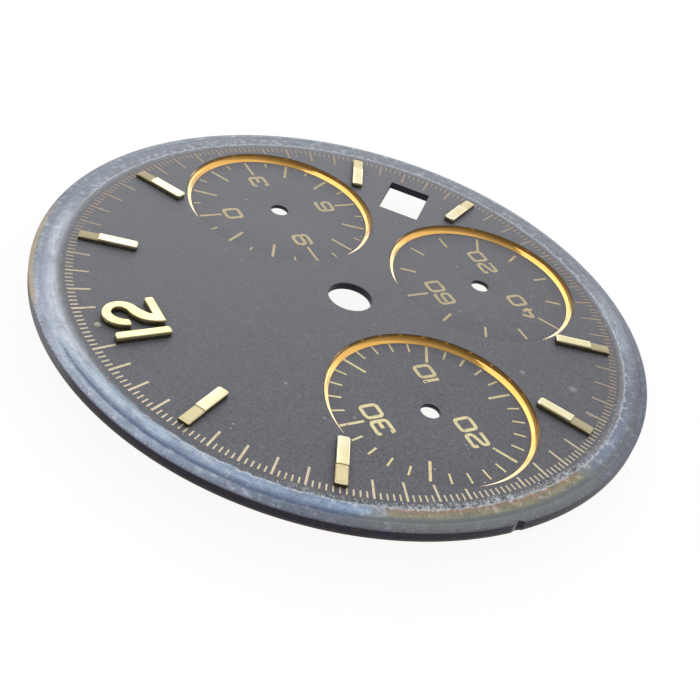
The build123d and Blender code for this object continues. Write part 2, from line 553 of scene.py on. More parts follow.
def new_material(name):
    """An empty material, with the function that adds its nodes and each point's place in millimetres."""
    made = bpy.data.materials.new(name)
    add = node_adder(made)
    metres = add("TexCoord", {}).outputs["Object"]
    return made, add, add("VectorMath", {0: metres, "Scale": 1 / MM}, operation="SCALE")


def tint(add, tone, colour, value, start, full, most=1.0, within=(), least=0.0):
    """A colour laid over a tone: from least to most as a value goes from start to full, within masks."""
    limits = {"From Min": start, "From Max": full, "To Min": least, "To Max": most}
    share = add("MapRange", {"Value": value, **limits}, **SMOOTH)
    for mask in within:
        share = add("Math", {0: share, 1: mask}, operation="MULTIPLY")
    return add("Mix", {"Factor": share, "A": tone, "B": colour}, **COLOUR)


def between(add, value, rise_from, rise_to, fall_from, fall_to):
    """A mask that rises from 0 to 1 and falls back to 0 as a value grows."""
    start = add("MapRange", {"Value": value, "From Min": rise_from, "From Max": rise_to}, **SMOOTH)
    end = add("MapRange", {"Value": value, "From Min": fall_to, "From Max": fall_from}, **SMOOTH)
    return add("Math", {0: start, 1: end}, operation="MULTIPLY")


def finish_surface(add, relief, depth, look):
    """Ends a material: the shader's values over a relief of some millimetres."""
    rise = add("Bump", {"Height": relief, "Distance": depth * MM})
    shader = add("BsdfPrincipled", {**look, "Normal": rise})
    add("OutputMaterial", {"Surface": shader})


def lacquer_tone(add, place):
    """Sprayed matte anthracite: fine grit, slow clouds, a painted sheen that lightens it towards 3 and a few
    pale specks of dust.
    """
    grit = add("TexNoise", {"Vector": place, "Scale": 1 / grit_size, "Detail": 3.0, "Roughness": 0.7})
    clouds = add("TexNoise", {"Vector": place, "Scale": 1 / lacquer_cloud, "Detail": 2.0})
    across = add("SeparateXYZ", {"Vector": place}).outputs["X"]
    tone = add("ValToRGB", {"Fac": grit}, [(0.28, "#46474e"), (0.72, "#6e6e76")])
    tone = tint(add, tone, "#505058", clouds, 0.35, 0.65, 0.12)
    # Painted sheen: the lacquer is painted lighter towards 3, the side that the light from behind grazes
    tone = tint(add, tone, "#7a7c82", across, -sheen_fade_r, sheen_fade_r, 0.5)
    spots = add("TexVoronoi", {"Vector": place, "Scale": 1 / speck_gap, "Randomness": 1.0})
    size = add("TexNoise", {"Vector": place, "Scale": 1 / speck_drift, "Detail": 1.0})
    limits = {"From Min": 0.45, "From Max": 0.75, "To Max": speck_size / speck_gap}
    size = add("MapRange", {"Value": size, **limits})
    inside = add("Math", {0: size, 1: spots}, operation="SUBTRACT")
    return tint(add, tone, "#b8b9bc", inside, -0.02, 0.03, 0.4), grit


def anthracite_lacquer():
    """Sprayed matte lacquer on the counter discs: a fine grit and no sharp reflections."""
    made, add, place = new_material("anthracite_lacquer")
    tone, grit = lacquer_tone(add, place)
    finish_surface(add, grit, 0.006, {"Base Color": tone, "Roughness": 0.62, "IOR": 1.5})
    return made


def rim_grain(add, place):
    """What the rim's wear follows: distance from the centre, share of a turn from 12, and its own grain."""
    parts = add("SeparateXYZ", {"Vector": place})
    x, y = parts.outputs["X"], parts.outputs["Y"]
    flat = add("CombineXYZ", {"X": x, "Y": y})
    r = add("VectorMath", {0: flat}, operation="LENGTH")
    turn = add("Math", {0: x, 1: y}, operation="ARCTAN2")
    turn = add("Math", {0: turn, 1: 1 / (2 * math.pi)}, operation="MULTIPLY")
    turn = add("Math", {0: turn, 1: 1.0, 2: 0.0}, operation="WRAP")
    salt = add("TexNoise", {"Vector": place, "Scale": 1 / salt_size, "Detail": 3.0, "Roughness": 0.65})
    scabs = add("TexNoise", {"Vector": place, "Scale": 1 / scab_size, "Detail": 4.0, "Roughness": 0.62})
    stains = add("TexNoise", {"Vector": place, "Scale": 1 / stain_size, "Detail": 3.0, "Roughness": 0.55})
    lumps = add("TexNoise", {"Vector": place, "Scale": 1 / lump_size, "Detail": 4.0, "Roughness": 0.7})

    # Streaks that run round the rim
    swept = add("VectorMath", {0: flat, "Scale": streak_stretch}, operation="SCALE")
    outward = add("CombineXYZ", {"Z": r})
    swept = add("VectorMath", {0: swept, 1: outward}, operation="ADD")
    streaks = add("TexNoise", {"Vector": swept, "Scale": 1 / streak_w, "Detail": 3.0, "Roughness": 0.6})
    return SimpleNamespace(flat=flat, r=r, turn=turn, salt=salt, scabs=scabs, stains=stains, lumps=lumps,
                           streaks=streaks)


def corroded_bands(add, rim):
    """Corroded plated brass inside and outside the groove, and how spotted it is at each place."""
    band = add("ValToRGB", {"Fac": rim.turn}, [
        (0.0, "#b8c1cb"), (0.09, "#b2bbc6"), (0.12, "#8f95a1"), (0.16, "#767c87"), (0.33, "#71757e"),
        (0.50, "#737882"), (0.56, "#a4adb7"), (0.60, "#7c8493"), (0.62, "#6b7283"), (0.67, "#78869c"),
        (0.69, "#75808f"), (0.82, "#849ebf"), (0.86, "#8599b3"), (0.89, "#93a5bc"), (0.93, "#a1b1c6"),
        (1.0, "#b8c1cb")])
    outer = add("ValToRGB", {"Fac": rim.turn}, [
        (0.0, "#acb5c3"), (0.05, "#999ea6"), (0.10, "#7a8289"), (0.16, "#7d8691"), (0.33, "#757e88"),
        (0.50, "#6c7681"), (0.56, "#646c79"), (0.60, "#484f5b"), (0.64, "#535a66"), (0.70, "#676a6f"),
        (0.82, "#676b71"), (0.86, "#687285"), (0.89, "#818d9f"), (0.92, "#8d9bb0"), (1.0, "#acb5c3")])
    limits = {"From Min": groove_mid_r - 0.06, "From Max": groove_mid_r + 0.10}
    beyond = add("MapRange", {"Value": rim.r, **limits}, **SMOOTH)
    metal = add("Mix", {"Factor": beyond, "A": band, "B": outer}, **COLOUR)
    metal = tint(add, metal, "#676e7d", rim.streaks, 0.38, 0.70, 0.45)

    # Pale scabs, fewer outside the groove between 5 and 9, and dull stains
    calm = between(add, rim.turn, 0.40, 0.52, 0.68, 0.76)
    calm = add("Math", {0: calm, 1: beyond}, operation="MULTIPLY")
    spotty = add("Math", {0: calm, 1: -0.7, 2: 1.0}, operation="MULTIPLY_ADD")
    metal = tint(add, metal, "#bfc6d0", rim.scabs, 0.50, 0.68, 0.45, [spotty])
    return tint(add, metal, "#686f81", rim.stains, 0.52, 0.66, 0.40), spotty


def olive_patch(add, rim, metal):
    """An olive and rust patch between half past eight and ten, grey from the groove outward."""
    shifted = add("Math", {0: rim.scabs, 1: 0.028, 2: rim.turn}, operation="MULTIPLY_ADD")
    patch = between(add, shifted, 0.700, 0.720, 0.818, 0.842)
    olive = add("ValToRGB", {"Fac": rim.streaks}, [(0.30, "#6e6d4e"), (0.55, "#8c8556"), (0.75, "#a39a5f")])
    rust = add("ValToRGB", {"Fac": rim.scabs}, [(0.38, "#8b855c"), (0.48, "#98734d"), (0.62, "#8c5735")])
    olive = tint(add, olive, rust, rim.r, groove_mid_r - 0.30, groove_mid_r - 0.65)
    olive = tint(add, olive, "#707374", rim.r, groove_mid_r - 0.28, groove_mid_r - 0.08)
    share = add("Math", {0: patch, 1: 0.85}, operation="MULTIPLY")
    return add("Mix", {"Factor": share, "A": metal, "B": olive}, **COLOUR), patch


def groove_residue(add, rim, metal):
    """Dark residue in the groove, and a thin dark blue line that wanders through it from 10:30 to 12."""
    residue = add("ValToRGB", {"Fac": rim.turn}, [
        (0.0, "#a9b3c1"), (0.03, "#8b92a5"), (0.12, "#767e8c"), (0.50, "#747a84"), (0.545, "#8b919c"),
        (0.60, "#5d6471"), (0.70, "#616668"), (0.82, "#656967"), (0.828, "#475671"), (0.92, "#556582"),
        (0.965, "#68768f"), (0.985, "#8e99ab"), (1.0, "#a9b3c1")])
    drift = add("Math", {0: rim.stains, 1: 0.12, 2: rim.r}, operation="MULTIPLY_ADD")
    mid = groove_mid_r
    share = between(add, drift, mid - 0.34, mid + 0.04, mid + 0.08, mid + 0.20)
    metal = add("Mix", {"Factor": share, "A": metal, "B": residue}, **COLOUR)
    drift = add("Math", {0: rim.scabs, 1: 0.20, 2: rim.r}, operation="MULTIPLY_ADD")
    drift = add("Math", {0: rim.salt, 1: 0.12, 2: drift}, operation="MULTIPLY_ADD")
    line = between(add, drift, mid + 0.04, mid + 0.10, mid + 0.15, mid + 0.22)
    stretch = between(add, rim.turn, 0.88, 0.93, 0.985, 1.0)
    return tint(add, metal, "#34466c", rim.salt, 0.36, 0.56, 0.75, [line, stretch])


def rim_wear(add, rim, metal, patch, spotty):
    """Salt crystals, pits that thicken outward, bare brass along the edge, a light tan near 1 that is painted
    reflection on bare brass, and mottling.
    """
    metal = tint(add, metal, "#d6dce3", rim.salt, 0.63, 0.72, 0.6)
    limits = {"From Min": groove_mid_r + 0.15, "From Max": dial_r, "To Max": 0.10}
    outward = add("MapRange", {"Value": rim.r, **limits}, **SMOOTH)
    pits = add("Math", {0: rim.salt, 1: outward}, operation="SUBTRACT")
    metal = tint(add, metal, "#43445a", pits, 0.42, 0.32, 0.65)
    worn = add("Math", {0: rim.scabs, 1: 0.22, 2: rim.r}, operation="MULTIPLY_ADD")
    metal = tint(add, metal, "#5f5e6e", worn, dial_r + 0.02, dial_r + 0.07, 0.7)
    # Bare brass with painted reflection: near 1 the rounded outer edge is painted a light tan for the light
    # it mirrors
    near_one = between(add, rim.turn, 0.014, 0.033, 0.085, 0.12)
    metal = tint(add, metal, "#ad9c80", worn, dial_r - 0.14, dial_r - 0.04, 0.85, [near_one])

    # Mottling, strongest on the olive patch's inner half and absent from its outer half
    start, full = groove_mid_r - 0.15, groove_mid_r - 0.40
    limits = {"From Min": start, "From Max": full, "To Min": -0.16, "To Max": 0.22}
    strength = add("MapRange", {"Value": rim.r, **limits})
    strength = add("Math", {0: patch, 1: strength, 2: 0.18}, operation="MULTIPLY_ADD")
    strength = add("Math", {0: strength, 1: spotty}, operation="MULTIPLY")
    blotches = add("Math", {0: rim.scabs, 1: rim.lumps}, operation="ADD")
    metal = tint(add, metal, "#c6cbcf", blotches, 1.02, 1.22, 1.0, [strength])
    return tint(add, metal, "#4a4d57", blotches, 0.98, 0.78, 1.0, [strength])


def weathered_lacquer(add, rim, lacquer, past):
    """The face's lacquer near its end: paler at the edge, a few scuffs, and a crust between 8 and 10."""
    start = add("MapRange", {"Value": rim.turn, "From Min": 0.80, "From Max": 0.74}, **SMOOTH)
    end = add("MapRange", {"Value": rim.turn, "From Min": 0.95, "From Max": 0.99}, **SMOOTH)
    pale_stretch = add("Math", {0: start, 1: end}, operation="ADD")
    lacquer = tint(add, lacquer, "#9ea2a6", past, -0.38, 0.0, 0.5, [pale_stretch])
    for (x, y), half in scuffs:
        away = add("VectorMath", {0: rim.flat, 1: (x, y, 0)}, operation="DISTANCE").outputs["Value"]
        away = add("Math", {0: rim.scabs, 1: -half, 2: away}, operation="MULTIPLY_ADD")
        lacquer = tint(add, lacquer, "#b4b8be", away, half / 2, -half / 2, 0.45)
    crust_stretch = between(add, rim.turn, 0.62, 0.70, 0.80, 0.90)
    reach = add("Math", {0: rim.stains, 1: 0.9, 2: past}, operation="MULTIPLY_ADD")
    crust = add("ValToRGB", {"Fac": rim.lumps}, [(0.40, "#3c3d42"), (0.50, "#76787d"), (0.60, "#ccd4da")])
    return tint(add, lacquer, crust, reach, 0.10, 0.42, 0.9, [crust_stretch])


def worn_lacquer_on_brass():
    """The face: matte lacquer with a ragged lifted edge, and corroded plated brass beyond it."""
    made, add, place = new_material("worn_lacquer_on_brass")
    lacquer, _ = lacquer_tone(add, place)
    rim = rim_grain(add, place)
    metal, spotty = corroded_bands(add, rim)
    metal, patch = olive_patch(add, rim, metal)
    metal = groove_residue(add, rim, metal)
    metal = rim_wear(add, rim, metal, patch, spotty)

    # How far a point lies past the lacquer's end, which wanders outward and back
    edge = add("Math", {0: rim.scabs, 1: 0.32, 2: lacquer_end_r}, operation="MULTIPLY_ADD")
    edge = add("Math", {0: rim.salt, 1: 0.14, 2: edge}, operation="MULTIPLY_ADD")
    past = add("Math", {0: rim.r, 1: edge}, operation="SUBTRACT")
    lacquer = weathered_lacquer(add, rim, lacquer, past)

    # From 11 round to 1 it has no clean edge but wears thin into the metal
    start = add("MapRange", {"Value": rim.turn, "From Min": 0.90, "From Max": 0.95}, **SMOOTH)
    end = add("MapRange", {"Value": rim.turn, "From Min": 0.14, "From Max": 0.10}, **SMOOTH)
    thin = add("Math", {0: start, 1: end}, operation="MAXIMUM")
    reach = add("Math", {0: thin, 1: 0.17, 2: 0.035}, operation="MULTIPLY_ADD")
    bare = add("Math", {0: past, 1: reach}, operation="DIVIDE")
    bare = add("MapRange", {"Value": bare, "From Min": -1.0, "From Max": 1.0}, **SMOOTH)
    tone = add("Mix", {"Factor": bare, "A": lacquer, "B": metal}, **COLOUR)

    # The curled edge of the lacquer is pale
    lip = between(add, past, -0.06, 0.0, 0.02, 0.09)
    clean = add("MapRange", {"Value": thin, "To Min": 1.0, "To Max": 0.2})
    tone = tint(add, tone, "#ccd3db", rim.salt, 0.42, 0.58, 0.85, [lip, clean], least=0.15)

    # The lacquer stands above the metal, which is rough with crystals
    rough = add("MapRange", {"Value": bare, "To Min": 0.62, "To Max": 0.42})
    metallic = add("Math", {0: bare, 1: 0.35}, operation="MULTIPLY")
    crystals = add("MapRange", {"Value": bare, "To Min": 0.15, "To Max": 0.6})
    crystals = add("Math", {0: crystals, 1: rim.salt}, operation="MULTIPLY")
    height = add("Math", {0: bare, 1: -0.6, 2: crystals}, operation="MULTIPLY_ADD")
    look = {"Base Color": tone, "Metallic": metallic, "Roughness": rough, "IOR": 1.5}
    finish_surface(add, height, 0.018, look)
    return made


def oxide_and_shade_walls():
    """Blackened brass on the cut walls, painted near black also as the shade on them and in the holes: dark
    purple-brown and satin, with turned lines. Paler at 12.
    """
    made, add, place = new_material("oxide_and_shade_walls")
    drawn = add("VectorMath", {0: place, 1: (0.15, 0.15, 1.0)}, operation="MULTIPLY")
    lines = add("TexNoise", {"Vector": drawn, "Scale": 1 / turned_line_w, "Detail": 3.0, "Roughness": 0.6})
    spots = add("TexNoise", {"Vector": place, "Scale": 1 / oxide_spot, "Detail": 4.0, "Roughness": 0.6})
    parts = add("SeparateXYZ", {"Vector": place})
    # Oxide and painted shade: the walls' base tone is near black
    tone = add("ValToRGB", {"Fac": lines}, [(0.3, "#11101d"), (0.7, "#221f2e")])
    tone = tint(add, tone, "#43352c", spots, 0.56, 0.70, 0.6)
    tone = tint(add, tone, "#5d5e66", parts.outputs["Y"], dial_r - 0.40, dial_r - 0.05, 0.8)
    tone = tint(add, tone, "#4a4040", parts.outputs["Z"], flange_z + 0.15, flange_z + 0.08, 0.7)
    finish_surface(add, lines, 0.008, {"Base Color": tone, "Metallic": 0.6, "Roughness": 0.45})
    return made


def tarnished_brass():
    """The back of the plate and discs: brushed brass gone dull, with brown clouds and fine lines one way."""
    made, add, place = new_material("tarnished_brass")
    drawn = add("VectorMath", {0: place, 1: (0.05, 1.0, 1.0)}, operation="MULTIPLY")
    lines = add("TexNoise", {"Vector": drawn, "Scale": 1 / brushed_line_w, "Detail": 3.0, "Roughness": 0.6})
    clouds = add("TexNoise", {"Vector": place, "Scale": 1 / brass_cloud, "Detail": 4.0, "Roughness": 0.55})
    tone = add("ValToRGB", {"Fac": lines}, [(0.3, "#b6985e"), (0.7, "#d2b87f")])
    tone = tint(add, tone, "#8a6b47", clouds, 0.42, 0.68, 0.7)
    limits = {"From Min": 0.3, "From Max": 0.7, "To Min": 0.30, "To Max": 0.48}
    rough = add("MapRange", {"Value": clouds, **limits})
    finish_surface(add, lines, 0.004, {"Base Color": tone, "Metallic": 1.0, "Roughness": rough})
    return made


def polished_gold_plate():
    """The counter rings: polished gold plate under clear lacquer, deep orange yellow with pale highlights,
    painted paler where it is seen at a grazing angle.
    """
    made, add, place = new_material("polished_gold_plate")
    clouds = add("TexNoise", {"Vector": place, "Scale": 1 / gold_cloud, "Detail": 3.0, "Roughness": 0.55})
    tone = add("ValToRGB", {"Fac": clouds}, [(0.3, "#e6ac4d"), (0.7, "#ecb75b")])
    # Painted reflection: the gold is painted paler where it is seen at a grazing angle
    grazing = add("LayerWeight", {"Blend": 0.5}).outputs["Facing"]
    tone = tint(add, tone, "#f6e3bb", grazing, 0.36, 0.70, 0.70)
    limits = {"From Min": 0.3, "From Max": 0.7, "To Min": 0.08, "To Max": 0.14}
    rough = add("MapRange", {"Value": clouds, **limits})
    coat = {"Coat Weight": 1.0, "Coat Roughness": 0.12}
    shader = add("BsdfPrincipled", {"Base Color": tone, "Metallic": 1.0, "Roughness": rough, **coat})
    add("OutputMaterial", {"Surface": shader})
    return made


def pale_gold_plate(name, deep, pale):
    """Batons and figures: polished pale gold, with tarnish specks and painted shade low on the sides, where
    they meet the lacquer.
    """
    made, add, place = new_material(name)
    height = add("SeparateXYZ", {"Vector": place}).outputs["Z"]
    # Painted shade with tarnish: the sides are painted nearly black low down, where they meet the lacquer
    limits = {"From Min": baton_top_z - 0.06, "From Max": baton_top_z - 0.14}
    low = add("MapRange", {"Value": height, **limits}, **SMOOTH)
    specks = add("TexNoise", {"Vector": place, "Scale": 1 / tarnish_speck, "Detail": 3.0, "Roughness": 0.6})
    clouds = add("TexNoise", {"Vector": place, "Scale": 1 / pale_gold_cloud, "Detail": 2.0})
    tone = add("ValToRGB", {"Fac": clouds}, [(0.3, deep), (0.7, pale)])
    tone = tint(add, tone, "#2a2117", specks, 0.36, 0.58, 0.72, [low], least=0.98)
    rough = add("MapRange", {"Value": low, "To Min": 0.16, "To Max": 0.42})
    relief = add("Math", {0: specks, 1: low}, operation="MULTIPLY")
    finish_surface(add, relief, 0.006, {"Base Color": tone, "Metallic": 1.0, "Roughness": rough})
    return made


def aged_paste(name, deep, pale, browned, edge, shade_z):
    """Aged luminous paste: matte and sandy, browner at 1, 2, 7 and 8, painted darker as shade where its top
    rounds over and low on its sides.
    """
    made, add, place = new_material(name)
    sand = add("TexNoise", {"Vector": place, "Scale": 1 / sand_size, "Detail": 3.0, "Roughness": 0.65})
    clouds = add("TexNoise", {"Vector": place, "Scale": 1 / paste_cloud, "Detail": 2.0})
    tone = add("ValToRGB", {"Fac": sand}, [(0.3, deep), (0.7, pale)])
    tone = tint(add, tone, deep, clouds, 0.4, 0.7, 0.35)
    across = add("VectorMath", {0: place, 1: direction(brown_side, 0)}, operation="DOT_PRODUCT")
    across = add("Math", {0: across.outputs["Value"]}, operation="ABSOLUTE")
    tone = tint(add, tone, browned, across, 6.0, 11.0)
    # Painted shade: darker where the surface tilts away from level, on the rounded edges
    facing = add("SeparateXYZ", {"Vector": add("NewGeometry", {}).outputs["Normal"]}).outputs["Z"]
    tone = tint(add, tone, edge, facing, 0.98, 0.60, 0.7)
    # Painted shade: dark low on the sides
    height = add("SeparateXYZ", {"Vector": place}).outputs["Z"]
    tone = tint(add, tone, "#2b2319", height, shade_z + 0.04, shade_z, 0.9)
    finish_surface(add, sand, 0.010, {"Base Color": tone, "Roughness": 0.75, "IOR": 1.45})
    return made


def gold_ink(name, pale, deep, fade_from, fade_to):
    """Pad printed gold ink: a thin satin layer with worn spots, browner away from 10."""
    made, add, place = new_material(name)
    worn = add("TexNoise", {"Vector": place, "Scale": 1 / ink_wear, "Detail": 4.0, "Roughness": 0.65})
    across = add("VectorMath", {0: place, 1: direction(fade_side, 0)}, operation="DOT_PRODUCT")
    tone = tint(add, pale, deep, across.outputs["Value"], fade_from, fade_to)
    tone = tint(add, tone, "#6c675f", worn, 0.54, 0.68, 0.65)
    finish_surface(add, worn, 0.004, {"Base Color": tone, "Metallic": 0.25, "Roughness": 0.45})
    return made


def drawn_copper():
    """The feet: drawn copper wire, warm and satin, with fine lines along it."""
    made, add, place = new_material("drawn_copper")
    drawn = add("VectorMath", {0: place, 1: (1.0, 1.0, 0.08)}, operation="MULTIPLY")
    lines = add("TexNoise", {"Vector": drawn, "Scale": 1 / drawn_line_w, "Detail": 3.0})
    tone = add("ValToRGB", {"Fac": lines}, [(0.3, "#b9714b"), (0.7, "#d99a73")])
    finish_surface(add, lines, 0.004, {"Base Color": tone, "Metallic": 1.0, "Roughness": 0.32})
    return made


def salt_crust():
    """Flakes on the rim: dry pale salts, matte and rough."""
    made, add, place = new_material("salt_crust")
    spots = add("TexNoise", {"Vector": place, "Scale": 1 / crust_grain, "Detail": 3.0})
    tone = add("ValToRGB", {"Fac": spots}, [(0.3, "#a9b0b8"), (0.7, "#eef1f4")])
    finish_surface(add, spots, 0.006, {"Base Color": tone, "Roughness": 0.8, "IOR": 1.45})
    return made


face_lacquer = worn_lacquer_on_brass()
disc_lacquer = anthracite_lacquer()
wall_oxide_and_shade = oxide_and_shade_walls()
back_brass = tarnished_brass()
ring_gold = polished_gold_plate()
mark_gold = pale_gold_plate("baton_gold_plate", "#e9dcae", "#f1e8c6")
figure_gold = pale_gold_plate("figure_gold_plate", "#e3d296", "#eee0b2")
# Below this height the sides of the paste are painted in shade. The fourth colour of each paste is its
# painted shade on rounded edges
lume_shade_z = lume_top_z - 0.12
lume_paste = aged_paste("cream_luminous_paste", "#ecdaa6", "#fcf0c4", "#beb18e", "#8f7a4e", lume_shade_z)
dot_paste = aged_paste("grey_luminous_paste", "#93968a", "#c9c9bb", "#b5b5a6", "#5a5c52", 0.0)
track_ink = gold_ink("minute_track_ink", "#d6c7a8", "#9c8a75", -9, 0)
counter_ink = gold_ink("counter_ink", "#e2d6a2", "#b9aa85", -8.5, 1)
foot_copper = drawn_copper()
rim_salt = salt_crust()


# Plate

def rim_profile():
    """Half section of the plate from the bore's top edge outward and round to the back."""
    band_z = face_z - rim_step
    groove_in_r, groove_out_r = groove_mid_r - rim_groove_w / 2, groove_mid_r + rim_groove_w / 2
    flange_in_r = dial_r - flange_w
    points = [
        (centre_bore_r, 0), (centre_bore_r, face_z - bore_edge), (centre_bore_r + bore_edge, face_z),
        (rim_in_r, face_z), (groove_in_r, band_z), (groove_mid_r, band_z - rim_groove_depth),
        (groove_out_r, band_z), (dial_r, face_z - rim_drop), (dial_r, flange_z),
        (flange_in_r, flange_z), (flange_in_r, 0),
    ]
    radii = [0, 0, 0, face_edge_round, groove_round, groove_round, groove_round, rim_edge_round,
             back_edge_round, flange_edge_round, 0]
    return rounded(points, radii, 5)


def window_outline():
    """The date window's outline, with its long side along the radius, drawn at 12."""
    far = rim_in_r - window_rim_gap
    near, half_w = far - window_radial, window_across / 2
    return rounded(rectangle(-half_w, near, half_w, far), window_corner_r, 6)


def notch_outline(corners):
    """The notch at 9, from its corners' places along the edge and their depths."""
    out = -dial_r - cut_overrun
    inner = [(-dial_r + depth, along) for along, depth in corners]
    return [(out, corners[0][0]), *inner, (out, corners[-1][0])]


def assign_plate_faces(mesh):
    """Lacquer on top, oxide and painted shade on the cut walls, brass behind. The notch's long flank is worn
    like the rim.
    """
    for face in mesh.polygons:
        x, y, _ = face.center / MM
        in_notch = x < -dial_r + notch_top[2][1] and abs(y) < notch_top[3][0]
        if face.normal.z > top_normal_z or (in_notch and face.normal.y < flank_normal_y):
            face.material_index = 0
        elif face.normal.z < back_normal_z:
            face.material_index = 2
        else:
            face.material_index = 1


def build_plate():
    """The plate, with the counters' stepped openings, the date window and the notch cut out."""
    bm = bmesh.new()
    turn_profile(bm, rim_profile(), steps=720)
    plate = piece("plate", bm, "dial_lacquer", face_lacquer, wall_oxide_and_shade, back_brass,
                  stands_for=["dial_plate"])
    cutter = bmesh.new()
    seat_r, open_r = disc_r + fit_gap, ring_out_r + fit_gap
    low, high = -cut_overrun, face_z + cut_overrun
    section = [(0, low), (seat_r, low), (seat_r, floor_z), (open_r, floor_z), (open_r, high), (0, high)]
    for hour in counter_hours:
        turn_profile(cutter, section, circle_point(counter_pitch_r, hour * 30))

    # The section starts on the axis, where its points meet and leave faces without area
    bmesh.ops.remove_doubles(cutter, verts=cutter.verts, dist=merge_dist)
    slivers = [face for face in cutter.faces if face.calc_area() < sliver_area]
    bmesh.ops.delete(cutter, geom=slivers, context="FACES_ONLY")
    opening = bmesh.new()
    prism(opening, window_outline(), low, high)
    spin(opening, window_angle)
    shared = bpy.data.meshes.new("opening")
    opening.to_mesh(shared)
    opening.free()
    cutter.from_mesh(shared)
    bpy.data.meshes.remove(shared)
    prism(cutter, notch_outline(notch_low), flange_z - fit_gap, face_z, notch_outline(notch_top))
    cut(plate, cutter)
    assign_plate_faces(plate.data)


# Counters

def build_counter(hour):
    """A counter's disc and its ring."""
    centre = circle_point(counter_pitch_r, hour * 30)
    bm = bmesh.new()
    corners = [(counter_bore_r, disc_back_z), (counter_bore_r, floor_z),
               (disc_r, floor_z), (disc_r, disc_back_z)]
    radii = [back_edge_round, disc_edge_round, back_edge_round, disc_edge_round]
    turn_profile(bm, rounded(corners, radii, 3), centre)
    disc = piece(f"counter_floor_{hour}", bm, "counter_lacquer", disc_lacquer, wall_oxide_and_shade, back_brass,
                 stands_for=[f"counter_disc_{hour}"])
    assign_plate_faces(disc.data)
    foot = Vector((ring_out_r - ring_slope_w, floor_z + ring_foot_h))
    top = Vector((ring_out_r, face_z - ring_drop))
    slope = rounded([foot, foot + Vector(ring_knee), foot + Vector(ring_shoulder), top], 1.0, 8, closed=False)
    bm = bmesh.new()
    turn_profile(bm, [(foot.x, floor_z), *slope, (ring_out_r, floor_z)], centre, 320)
    piece(f"ring_{hour}", bm, "gold_ring", ring_gold, stands_for=[f"counter_ring_{hour}"])


# Batons

def split_r(hour):
    """The radius where a baton's metal ends and its luminous block begins."""
    return baton_out_r - baton_end_wall - lume_len * lume_len_shares[baton_hours.index(hour)]


def edge_profile(low, high, edge_w, edge_h, crown, half_w):
    """Insets and heights of a raised form with rounded edges and a crowned top."""
    shoulder = high - crown * (1 - edge_w / half_w) ** 2
    made = [(0, low), (0, shoulder - edge_h)]
    for step in range(1, 7):
        t = math.radians(90 * step / 6)
        made.append((edge_w * (1 - math.cos(t)), shoulder - edge_h * (1 - math.sin(t))))
    for step in range(1, 6):
        inset = edge_w + (half_w - edge_w) * crown_share * step / 5
        made.append((inset, high - crown * ((half_w - inset) / half_w) ** 2))
    return made


def dense(outline, step):
    """The outline with points added so that none are further apart than a step."""
    made = []
    for k, point in enumerate(outline):
        here, there = Vector(point), Vector(outline[(k + 1) % len(outline)])
        count = max(1, round((there - here).length / step))
        made += [here.lerp(there, j / count) for j in range(count)]
    return made


def pins(bm, places):
    """Round pins through the plate."""
    section = rounded(rectangle(0, pin_end_z, pin_r, face_z + ink_t), [0, pin_end_round, 0, 0], 3)
    for place in places:
        turn_profile(bm, section, place, 32)


def build_baton(hour):
    """A baton's metal: a bevelled head, the low channel beyond it and two pins."""
    half_w, split = baton_w / 2, split_r(hour)
    far = split + end_spare
    head = rounded(rectangle(-half_w, baton_in_r, half_w, far), [baton_end_r, baton_end_r, 0, 0], 8)
    bm = bmesh.new()
    pillow(bm, head, (0, (baton_in_r + far) / 2), (half_w, (far - baton_in_r) / 2),
           edge_profile(face_z, baton_top_z, baton_edge_w, baton_edge_h, baton_crown, half_w))
    square_end(bm, split - seam_w, 1)
    channel = rectangle(-half_w, split - 2 * seam_w, half_w, baton_out_r)
    prism(bm, channel, face_z, baton_top_z - baton_wall_drop - channel_gap)
    pins(bm, [(0, baton_in_r + 2 * pin_inset), (0, baton_out_r - pin_inset)])
    spin(bm, hour * 30)
    piece(f"baton_{hour}", bm, "gold_marks", mark_gold, stands_for=[f"hour_baton_{hour}"])


def build_lume(hour):
    """The paste over a baton's outer end: a grainy low block that slopes down at the rim."""
    half_w, split = baton_w / 2, split_r(hour)
    low = baton_top_z - baton_wall_drop
    near = split - end_spare
    block = rounded(rectangle(-half_w, near, half_w, baton_out_r), [0, 0, lume_corner_r, lume_corner_r], 4)
    block = dense(block, lume_point_gap)
    bm = bmesh.new()
    pillow(bm, block, (0, (near + baton_out_r) / 2), (half_w, (baton_out_r - near) / 2),
           edge_profile(low, lume_top_z, lume_edge_w, lume_edge_h, lume_crown, half_w))
    square_end(bm, split, -1)
    for vert in bm.verts:
        share = max(0, (vert.co.z - low) / (lume_top_z - low))
        past = max(0, vert.co.y - (baton_out_r - lume_end_slope_len)) / lume_end_slope_len
        bump = noise.noise(vert.co * lume_bumps_per_mm + Vector((hour, 0, 0))) * lume_grain
        vert.co.z -= share * (lume_end_slope * past ** 2 + lume_grain - bump)
    spin(bm, hour * 30)
    piece(f"lume_{hour}", bm, "luminous_paste", lume_paste, stands_for=[f"lume_block_{hour}"], sharp_angle=60)


# Applied figures at 12

def one_outline():
    """The figure 1: a block with its corners rounded by different amounts."""
    radii = [one_base_corner_r, one_base_corner_r, one_shoulder_r, one_corner_r]
    return rounded(rectangle(*one_low.xy, *one_high.xy), radii, 8)


def two_outline():
    """The figure 2 as lines and arcs, and the places of its pins, from shares of its height."""
    height = two_high.y - two_low.y

    def point(share):
        return Vector((two_low.x + share[0] * height, two_low.y + share[1] * height))

    made = [point(two_start_share)]
    for row in two_outline_shares:
        here = [point(share) for share in row]
        made += here if len(here) == 1 else arc(made[-1], here[0], here[1], 12)
    return made[:-1], [point(share) for share in two_pin_shares]


